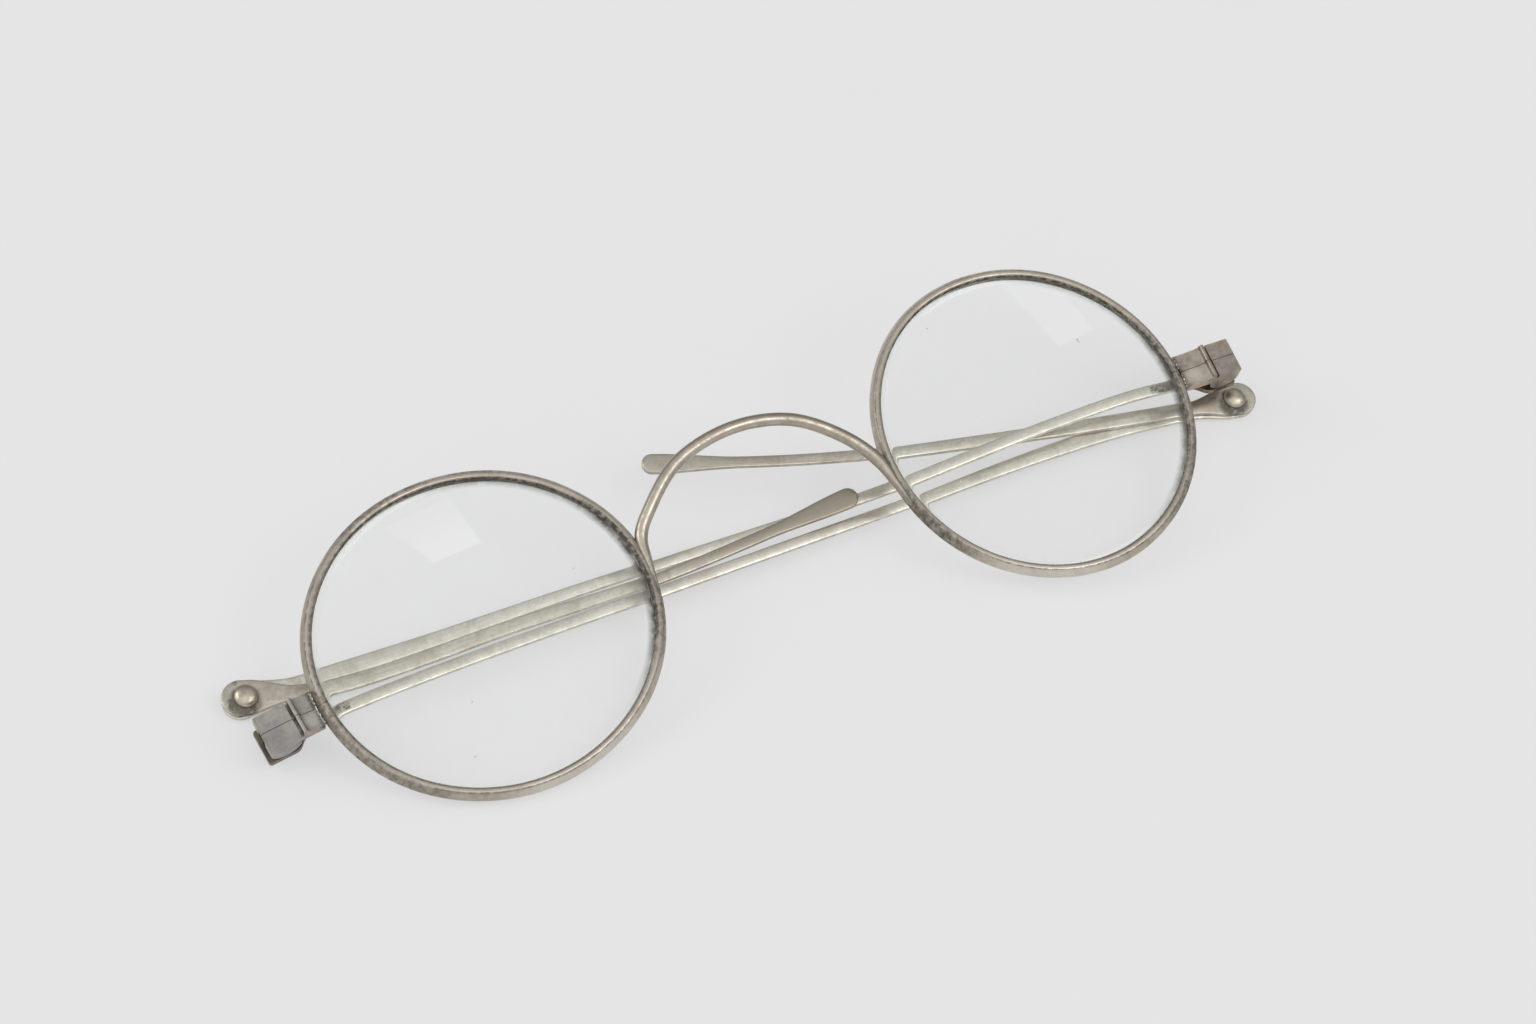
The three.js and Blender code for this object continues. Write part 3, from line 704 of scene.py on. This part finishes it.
def barStart(side):
    # a bar leaves its joint plate in line with the drooping block
    share, y = 0.05, hingePlace(side)[1]
    rise = share * stripSizes["reach"][side] * math.tan(math.radians(front["droop"][side]))
    return [(0, y), (share, y + rise)]


# each folded strip's run: a share of its reach, and its height on the face
sideRuns = {
    "left": barStart("left") + [(0.27, -1.15), (0.585, -1.6), (0.86, -2.3), (1, -4.25)],
    "right": barStart("right") + [
        (0.09, -0.56), (0.17, -0.2), (0.385, 0.4), (0.62, 2.1), (0.84, 3.3), (1, 4.7),
    ],
}
extensionRuns = {
    "left": [(0, -4.25), (0.175, -2.3), (0.42, 1.28), (0.738, 7.25), (1, 13.5)],
    "right": [(0, 4.7), (0.134, 2.3), (0.4, 1.2), (0.664, 0.25), (1, 0.73)],
}


def pinX(side):
    return hingePlace(side)[0] - hands[side] * stripSizes["reach"][side]


def runPath(side, run, reach):
    points = [(pinX(side) + hands[side] * share * reach, y, 0) for share, y in run]
    return throughPoints(points, stripSizes["pathSteps"])


def topOfSide(side, s):
    climb = stripSizes["reach"][side] - stripSizes["plateInner"] - stripSizes["level"]
    return stripSizes["eyeTop"] + stripSizes["drop"] * np.maximum(0, (s - stripSizes["level"]) / climb)


def knotWidth(s, knots):
    # smooth steps from knot to knot, each a place and a width
    places, widths = np.array(knots).T
    k = np.clip(np.searchsorted(places, s) - 1, 0, len(places) - 2)
    return widths[k] + (widths[k + 1] - widths[k]) * smooth(places[k], places[k + 1], s)


def eyeOutline():
    # half outline of the round eye, from its far end to its shoulder
    radius, past = stripSizes["eye"], stripSizes["eye"] * 0.24
    turn = np.linspace(math.pi, math.acos(past / radius), 30)
    return np.stack([radius * np.cos(turn) - stripSizes["eyeOffset"], radius * np.sin(turn)], axis=1)


def eyeStations(knots, end, count):
    # the eye, then widths from its shoulder down the neck and along the rest
    eye = eyeOutline()
    neck = np.linspace(eye[-1, 0], stripSizes["neck"], 14)[1:]
    stations = np.concatenate([neck, np.linspace(stripSizes["neck"], end, count)[1:]])
    widths = knotWidth(stations, [tuple(eye[-1])] + knots)
    return np.vstack([eye, np.stack([stations, widths], axis=1)])


def makeStrip(name, outline, path, length, topAt, dulled):
    # at each station the section runs up one rounded edge, over the crowned top, down the other and back
    s, w = outline.T[..., None]
    slope = unit(np.gradient(outline, axis=0))
    inward = np.stack([slope[:, 1], -slope[:, 0]], axis=1)
    half, corner = stripSizes["thickness"] / 2, stripSizes["round"]
    bend = np.linspace(0, math.pi / 2, 5)
    inset = np.concatenate([corner * (1 - np.sin(bend)), corner * (1 - np.cos(bend))])
    height = np.concatenate([-half + corner * (1 - np.cos(bend)), half - corner * (1 - np.sin(bend))])
    over = np.linspace(1, -1, 9)[1:-1]
    crown = half + stripSizes["crown"] * (1 - over ** 2)
    inset = np.concatenate([inset, corner + 0 * over, inset[::-1]])
    height = np.concatenate([height, crown, height[::-1]])
    sign = np.concatenate([np.ones(10), over, -np.ones(10)])
    stationS = s + inward[:, :1] * inset
    stationW = sign * np.maximum(0, np.maximum(w, 0) + inward[:, 1:] * inset)
    share = stationS / length * (len(path) - 1)
    tangent = unit(np.gradient(path, axis=0))
    index = np.arange(len(path))
    spot = [np.interp(share, index, path[:, k]) for k in range(2)]
    way = [np.interp(share, index, tangent[:, k]) for k in range(2)]
    past = np.minimum(0, stationS) + np.maximum(0, stationS - length)
    x = spot[0] + way[0] * past - way[1] * stationW
    y = spot[1] + way[1] * past + way[0] * stationW
    z = topAt(np.maximum(0, stationS)) - half + height + 0 * stationS
    grain = np.stack([stationS, stationW + 0.2 * height], axis=-1)
    rub = (1 - np.abs(inset / corner * 2 - 1)) * 0.5
    # painted shade on the side walls
    sides = smooth(corner * 0.3, 0, inset) * 0.12
    marks = {"edge": rub, "grime": sides, "shade": dulled(stationS)}
    return gridPiece(name, np.stack([x, y, z], axis=-1), grain=grain, marks=marks)


def sidePath(side):
    # from the pin to the hinge, against the order of the run
    run = [(1 - share, y) for share, y in sideRuns[side][::-1]]
    return runPath(side, run, stripSizes["reach"][side])


def makeSide(side, material):
    path, length = sidePath(side)
    atEye, middle, atJoint = (width / 2 for width in stripSizes["sideWidths"])
    end = length - stripSizes["plateInner"] - front["seat"]
    knots = [
        (stripSizes["neck"], atEye), (stripSizes["level"] * 2, middle),
        (end - stripSizes["level"], middle), (end, atJoint),
    ]

    def topAt(s):
        return topOfSide(side, s)

    def dulled(s):
        return 0.4 * smooth(end - 6, end, s)

    piece = makeStrip(f"{side}_side_strip", eyeStations(knots, end, 120), path, length, topAt, dulled)
    return stand(piece, f"{side}_side_bar", f"{side}_side", "bar_silver", material)


def makeExtension(side, material):
    path, length = runPath(side, extensionRuns[side], stripSizes["extensionReach"][side])
    atEye, thin, tip = (width / 2 for width in stripSizes["extensionWidths"])
    spatula = stripSizes["spatula"]
    knots = [(stripSizes["neck"], atEye), (length - spatula * 1.6, thin), (length - spatula, thin)]
    knots.append((length - tip, tip))
    bend = np.linspace(0, math.pi / 2, 16)[1:]
    roundTip = np.stack([length - tip + tip * np.sin(bend), tip * np.cos(bend)], axis=1)
    outline = np.vstack([eyeStations(knots, length - tip, 90), roundTip])
    raised = front["slide"] + stripSizes["thickness"]

    def topAt(s):
        return (topOfSide(side, s) if side == "right" else stripSizes["eyeTop"]) + raised

    def dulled(s):
        return stripSizes["endDull"][side] * smooth(length - 30, length - 8, s) + 0.3 * smooth(9, 5, s)

    piece = makeStrip(f"{side}_extension_strip", outline, path, length, topAt, dulled)
    return stand(piece, f"{side}_extension", f"{side}_end", "bar_silver", material)


def byPin(side, across, up, above):
    # a spot measured from a turn pin, above the eye of its side bar
    return (pinX(side) + across, stripSizes["pinHeight"][side] + up, stripSizes["eyeTop"] + above)


def pinStains(side):
    ring = {
        "side": (-0.45, -0.5, 0), "at": byPin(side, -0.1, -0.15, 0.75),
        "radius": 1.4, "fade": 0.6, "amount": 1.2,
    }
    pit = {"at": byPin(side, -0.55, 1.85, 0.65), "radius": 0.22, "fade": 0.15, "amount": 1.2}
    neck = {"at": byPin(side, 6.4, -0.2, 0.6), "radius": 1.0, "fade": 1.6, "amount": 0.5}
    return [ring, pit, neck] if side == "right" else [ring]


stripMarks = ("edge", "grime", "shade")
for side in hands:
    stamp = {**stripSizes["stamp"], "along": sidePath(side)[1] - stripSizes["stamp"]["back"]}
    finish = stripSizes["sideFinish"]
    makeSide(side, silverMaterial(f"{side}SideSilver", finish, marks=stripMarks, stamp=stamp))
    finish = stripSizes["extensionFinish"]
    makeExtension(side, silverMaterial(f"{side}ExtensionSilver", finish, pinStains(side), marks=stripMarks))
print("sides and extensions made")


# Turn pins: domed rivet, shank and flat tail, turned about the pin
pinSizes = {
    "shank": 0.65,
    "head": 1.25,
    "dome": 0.75,
    "tail": 1.2,
    "tailThickness": 0.35,
    "steps": 64,
    "finish": {
        "clean": (0.58, 0.525, 0.43), "dull": (0.33, 0.295, 0.225), "bloom": (0.31, 0.27, 0.19),
        "bloomAmount": 0.3, "bump": 0.35,
    },
}


def makePin(side, sizes, material):
    # radius and height from the tail up the shank and over the dome, turned about the pin
    under = front["slide"] * 2 + stripSizes["thickness"]
    back = -stripSizes["thickness"] - front["slide"]
    bend = np.linspace(0, math.pi / 2, 14)
    rise = under + sizes["dome"] * (0.2 + 0.8 * np.sin(bend))
    dome = np.stack([sizes["head"] * np.cos(bend), rise], axis=1)
    tail, foot = sizes["tail"], back - sizes["tailThickness"]
    stem = [
        (0, foot), (tail - 0.08, foot), (tail, foot + 0.08), (tail, back - 0.05), (tail - 0.05, back),
        (sizes["shank"], back), (sizes["shank"], under), (sizes["head"] - 0.06, under),
    ]
    profile = np.vstack([np.array(stem), dome])
    turn = fullTurn(sizes["steps"])[None, :]
    r, z = profile.T[..., None]
    r = r * (1 - 0.02 * (1 + np.sin(2 * turn + 1)) * (z > under))
    x = pinX(side) + r * np.cos(turn)
    y = stripSizes["pinHeight"][side] + r * np.sin(turn)
    points = np.stack([x, y, stripSizes["eyeTop"] + z + 0 * turn], axis=-1)
    low = smooth(0.4, 0.05, (z - under) / sizes["dome"]) * (z > 0)
    piece = gridPiece(f"{side}_rivet", points, caps=False, marks={"grime": low * 0.6})
    return stand(piece, f"{side}_turn_pin", f"{side}_side", "pin_silver", material)


pinMaterial = silverMaterial("rivetSilver", pinSizes["finish"], marks=("grime",))
for side in hands:
    makePin(side, pinSizes, pinMaterial)
print("turn pins made")


# Closing blocks, joint plates and screws: the solids' own forms, with their edges rounded
blockSizes = {
    "round": 0.07,
    "roundSteps": 2,
    "sharpFrom": 32.0,
    "finish": {
        "left": {
            "clean": (0.44, 0.42, 0.375), "dull": (0.29, 0.275, 0.24), "bloom": (0.235, 0.22, 0.23),
            "bloomAmount": 0.4, "bump": 0.3,
        },
        "right": {
            "clean": (0.46, 0.41, 0.345), "dull": (0.28, 0.24, 0.195), "bloom": (0.24, 0.205, 0.19),
            "bloomAmount": 0.4, "bump": 0.3,
        },
    },
    "edgeFinish": {
        "clean": (0.62, 0.59, 0.525), "dull": (0.42, 0.39, 0.335), "bloom": (0.36, 0.33, 0.335),
        "bloomAmount": 0.3, "bump": 0.2,
    },
    "plateFinish": {
        "clean": (0.25, 0.21, 0.165), "dull": (0.12, 0.10, 0.075), "bloom": (0.17, 0.115, 0.075),
        "bloomAmount": 0.5, "bump": 0.35,
    },
    "solderFinish": {
        "clean": (0.40, 0.385, 0.34), "dull": (0.17, 0.165, 0.14), "bloom": (0.20, 0.21, 0.19),
        "bloomAmount": 0.6, "bump": 0.5,
    },
    "copper": (0.50, 0.31, 0.20),
    "purple": (0.27, 0.25, 0.285),
    # a painted highlight on each arm
    "pale": (0.78, 0.74, 0.66),
    "grooveAt": {"left": -1.85, "right": -1.25},
    "splitHalf": 0.1,      # half the sawn gap between the halves
    "splitShown": 0.03,    # what is left of it once screwed shut
    "seamSteps": (40, 14), # along a solder run and round it
    "seamOut": 0.07,       # its middle's distance from the rim
    "seam": 0.2,           # thickness of the solder run between an arm and its rim
    "armHalf": 1.95,
    "armFront": 0.3,
}


def upBlock(side):
    # up the face, leaning with the drooping block
    angle = math.radians(front["droop"][side])
    return np.array([hands[side] * math.sin(angle), math.cos(angle), 0])


def onBlock(side, across, up, out):
    # a spot measured from the hinge screw, outwards along the drooping block
    lean, level, _ = upBlock(side)
    outwards = np.array([hands[side] * level, -hands[side] * lean, 0])
    return hingePlace(side) + across * outwards + up * upBlock(side) + [0, 0, out]


def blockSpot(side, across, up, out, radius, fade, amount, colour=None):
    at = onBlock(side, across, up, out)
    return {"at": at, "radius": radius, "fade": fade, "amount": amount, "colour": colour}


def blockTints(side):
    # a painted highlight as a pale saddle along the arm, copper on its lower side, a purple bloom on the
    # front and below
    rimEnd = -front["jointReach"][side]
    pale, copper, purple = blockSizes["pale"], blockSizes["copper"], blockSizes["purple"]
    return [
        blockSpot(side, rimEnd + 1.4, -0.9, 0.9, 0.6, 0.9, 0.55, pale),
        blockSpot(side, rimEnd + 1.3, -2.1, 0.3, 0.7, 0.6, 0.6, copper),
        blockSpot(side, 0.4, -0.5, 1.7, 0.6, 1.2, 0.4 if side == "left" else 0.2, purple),
        blockSpot(side, 0.0, -2.0, 0.5, 1.0, 0.8, 0.5 if side == "left" else 0.2, purple),
    ]


def blockStains(side):
    # dark lines in the groove and along the rim
    up = upBlock(side)
    rimEnd = -front["jointReach"][side]
    groove = blockSpot(side, blockSizes["grooveAt"][side], 0, 1.3, 0.2, 0.16, 0.4)
    atRim = blockSpot(side, rimEnd + 0.1, 0, 1.1, 0.3, 0.4, 0.75)
    return [{**groove, "long": up}, {**atRim, "long": up}]


def closeSplit(mesh, side):
    # the faces along the saw cut move together until only a fine line is left
    up = faceTurn @ upBlock(side)
    spots = np.zeros(len(mesh.vertices) * 3, np.float32)
    mesh.vertices.foreach_get("co", spots)
    spots = spots.reshape(-1, 3).astype(float)
    level = (spots - toRow(hingePlace(side))) @ up * 1000
    near = np.abs(level) < blockSizes["splitHalf"] + 0.02
    move = np.where(near, np.sign(level) * blockSizes["splitShown"] - level, 0)
    spots = spots + move[:, None] / 1000 * up[None]
    mesh.vertices.foreach_set("co", spots.astype(np.float32).ravel())


def makeRounded(node, name, body, slot, materials, closing=None):
    mesh = frame["nodes"][node].data.copy()
    mesh.materials.clear()
    if closing:
        closeSplit(mesh, closing)
    work = bmesh.new()
    work.from_mesh(mesh)
    bmesh.ops.remove_doubles(work, verts=work.verts, dist=meshing["cadWeld"])
    flat = math.radians(meshing["flat"])
    bmesh.ops.dissolve_limit(work, angle_limit=flat, verts=work.verts, edges=work.edges)
    work.to_mesh(mesh)
    work.free()
    piece = shadePiece(name, mesh, blockSizes["sharpFrom"])
    bevel = piece.modifiers.new("round", "BEVEL")
    bevel.width = blockSizes["round"] / 1000
    bevel.segments = blockSizes["roundSteps"]
    bevel.limit_method = "ANGLE"
    bevel.angle_limit = math.radians(blockSizes["sharpFrom"])
    bevel.material = 1
    bevel.harden_normals = True
    return stand(piece, node, body, slot, *materials)


def makeSeam(side, half, sizes, material):
    # a run of solder along the foot of an arm: a thin tube on the rim's circle, thinning to its ends
    low, high = (0.15, 1.0) if half == "upper" else (-1.0, -0.15)
    steps, sides = sizes["seamSteps"]
    share = np.linspace(low, high, steps)
    y = front["armHeight"][side] + share * sizes["armHalf"]
    eyeWide, eyeHigh = (size + sizes["seamOut"] for size in front["eyeHalf"][side])
    across = np.sqrt(1 - (y / eyeHigh) ** 2)
    x = hands[side] * (front["eyeX"] + eyeWide * across)
    path = np.stack([x, y, sizes["armFront"] + 0.02 + 0 * y], axis=1)
    ends = np.clip(np.minimum(share - low, high - share) / 0.12, 0, 1)
    lumps = 1 + 0.25 * np.sin(share * 19 + hands[side]) * np.cos(share * 7)
    thick = sizes["seam"] * np.sqrt(1 - (1 - ends) ** 2) * lumps
    turn = fullTurn(sides)
    out = np.stack([hands[side] * across, y / eyeHigh, 0 * y], axis=1)
    ring = np.cos(turn)[None, :, None] * out[:, None] + np.sin(turn)[None, :, None] * np.array([0, 0, 1.0])
    points = path[:, None] + thick[:, None, None] * ring
    piece = gridPiece(f"{side}_{half}_solder", points, caps=False)
    piece.data.materials.append(material)
    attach(piece, "front")


plateMaterial = silverMaterial("plateSilver", blockSizes["plateFinish"])
solderMaterial = silverMaterial("solderSilver", blockSizes["solderFinish"])
for side in hands:
    stains, tints = blockStains(side), blockTints(side)
    blockMaterial = silverMaterial(f"{side}BlockSilver", blockSizes["finish"][side], stains, tints)
    blockEdge = silverMaterial(f"{side}BlockEdge", blockSizes["edgeFinish"], stains, tints)
    for half in ("upper", "lower"):
        node = f"{side}_{half}_lug"
        makeRounded(node, f"{side}_{half}_block", "front", "block_silver", (blockMaterial, blockEdge), side)
        makeSeam(side, half, blockSizes, solderMaterial)
    node = f"{side}_joint_screw"
    makeRounded(node, f"{side}_hinge_screw", "front", "pin_silver", (plateMaterial, blockEdge))
    node = f"{side}_side_joint"
    makeRounded(node, f"{side}_joint_plate", f"{side}_side", "block_silver", (plateMaterial, plateMaterial))
print("blocks, plates and screws made")


# Floor, world and lamps
stage = {
    "floorHalf": 2.5,
    "floorColour": (0.33, 0.33, 0.332),     # share of the floor's tone that takes shadows
    "floorGlow": 0.4815,                    # share that stays, seen by the camera, metal and glass
    "floorRough": 0.9,
    "floorGloss": 0.1,
    "skyHigh": 0.85,
    "skyLow": 0.42,
    "skyFront": 1.3,
    "skyBack": 0.5,
    "shownSky": 0.78,                       # what the camera sees past the floor
    "cardHeight": 0.9,
    "cardLow": 0.8,                         # shine round a pane
    "cardFar": 0.25,                        # what its far edge adds
    "cardFade": (0.03, 0.12),               # soft share along its near edge and its sides
}
lamps = [
    # soft boxes: one at the back on the left, one in front on the right
    {"name": "boxLeft", "place": (-1.0, 0.55, 0.75), "size": (0.8, 0.7), "shine": 1.8},
    {"name": "boxFront", "place": (0.45, -0.8, 1.0), "size": (0.8, 0.6), "shine": 2.2},
]
cards = [
    # two pale panes overhead that show in the lenses, brightest along their near edge
    {
        "name": "paneLeft", "shine": 2.1,
        "corners": [(0.062, 0.156), (0.134, 0.163), (0.121, 0.249), (0.023, 0.236)],
    },
    {
        "name": "paneRight", "shine": 1.5,
        "corners": [(0.455, 0.132), (0.533, 0.153), (0.516, 0.240), (0.416, 0.275)],
    },
]


def makeFloor():
    half = stage["floorHalf"]
    mesh = bpy.data.meshes.new("floor")
    corners = [(-half, -half, 0), (half, -half, 0), (half, half, 0), (-half, half, 0)]
    mesh.from_pydata(corners, [], [(0, 1, 2, 3)])
    floor = linkObject("floor", mesh)
    material, tree, shader = newMaterial("floorPaper")
    place = put(tree, "TexCoord").outputs["Object"]
    tone = span(tree, noise(tree, place, 55.0, 4.0), 0.3, 0.7)
    pale = stage["floorColour"]
    colour = blendColour(tree, tone, tuple(c * 0.99 for c in pale), tuple(c * 1.01 for c in pale))
    path = put(tree, "LightPath")
    direct = sums(tree, "MAXIMUM", path.outputs["Is Camera Ray"], path.outputs["Is Glossy Ray"])
    shown = sums(tree, "MAXIMUM", direct, path.outputs["Is Transmission Ray"])
    # seen from below, the floor lets the opened sides show
    behind = put(tree, "NewGeometry").outputs["Backfacing"]
    feed(tree, shader, {
        "Base Color": colour, "Roughness": stage["floorRough"], "Specular IOR Level": stage["floorGloss"],
        "Emission Strength": times(tree, shown, stage["floorGlow"]), "Emission Color": (1, 1, 1.004, 1),
        "Alpha": sums(tree, "SUBTRACT", 1.0, behind),
    })
    mesh.materials.append(material)


def makeSky():
    world = bpy.data.worlds.new("room")
    bpy.context.scene.world = world
    world.use_nodes = True
    tree = world.node_tree
    # brighter overhead than low down, and brighter in front than towards the back on the right
    way = put(tree, "TexCoord").outputs["Generated"]
    height = put(tree, "SeparateXYZ", {0: way}).outputs["Z"]
    level = span(tree, height, -0.05, 0.9, stage["skyLow"], stage["skyHigh"])
    backwards = vectors(tree, "DOT_PRODUCT", way, (0.45, 0.9, 0.0), out="Value")
    level = times(tree, level, span(tree, backwards, -0.6, 0.7, stage["skyFront"], stage["skyBack"]))
    seen = put(tree, "LightPath").outputs["Is Camera Ray"]
    shown = put(tree, "Mix", {0: seen, 2: level, 3: stage["shownSky"]}, data_type="FLOAT").outputs[0]
    feed(tree, tree.nodes["Background"], {"Strength": shown, "Color": (1, 1, 1, 1)})


def makeLamp(lamp):
    light = bpy.data.lights.new(lamp["name"], "AREA")
    light.shape = "RECTANGLE"
    light.size, light.size_y = lamp["size"]
    light.energy = lamp["shine"] * math.pi * lamp["size"][0] * lamp["size"][1]
    holder = linkObject(lamp["name"], light)
    holder.location = lamp["place"]
    away = holder.location.normalized()
    holder.rotation_euler = away.to_track_quat("Z", "Y").to_euler()
    holder.visible_camera = False


def makeCard(card):
    mesh = bpy.data.meshes.new(card["name"])
    corners = [(x, y, stage["cardHeight"]) for x, y in card["corners"]]
    mesh.from_pydata(corners, [], [(0, 3, 2, 1)])
    layer = mesh.uv_layers.new(name="fade")
    layer.data.foreach_set("uv", np.array([(0, 0), (0, 1), (1, 1), (1, 0)], np.float32).ravel())
    piece = linkObject(card["name"], mesh)
    material, tree, shader = newMaterial(card["name"])
    across = put(tree, "SeparateXYZ", {0: put(tree, "UVMap", uv_map="fade").outputs["UV"]})
    low = stage["cardLow"]
    near, beside = stage["cardFade"]
    inside = span(tree, across.outputs["Y"], 0.0, near)
    for end in (0.0, 1.0):
        inside = times(tree, inside, span(tree, across.outputs["X"], end, end + (0.5 - end) * beside))
    falling = span(tree, across.outputs["Y"], 0.0, 1.0, card["shine"] - low, stage["cardFar"])
    feed(tree, shader, {
        "Base Color": (0, 0, 0, 1), "Specular IOR Level": 0, "Emission Color": (1, 1, 1, 1),
        "Emission Strength": sums(tree, "ADD", times(tree, inside, falling), low),
    })
    mesh.materials.append(material)
    for ray in ("camera", "diffuse", "transmission", "shadow"):
        setattr(piece, f"visible_{ray}", False)


makeFloor()
makeSky()
for lamp in lamps:
    makeLamp(lamp)
for card in cards:
    makeCard(card)
print("floor, sky and lamps made")
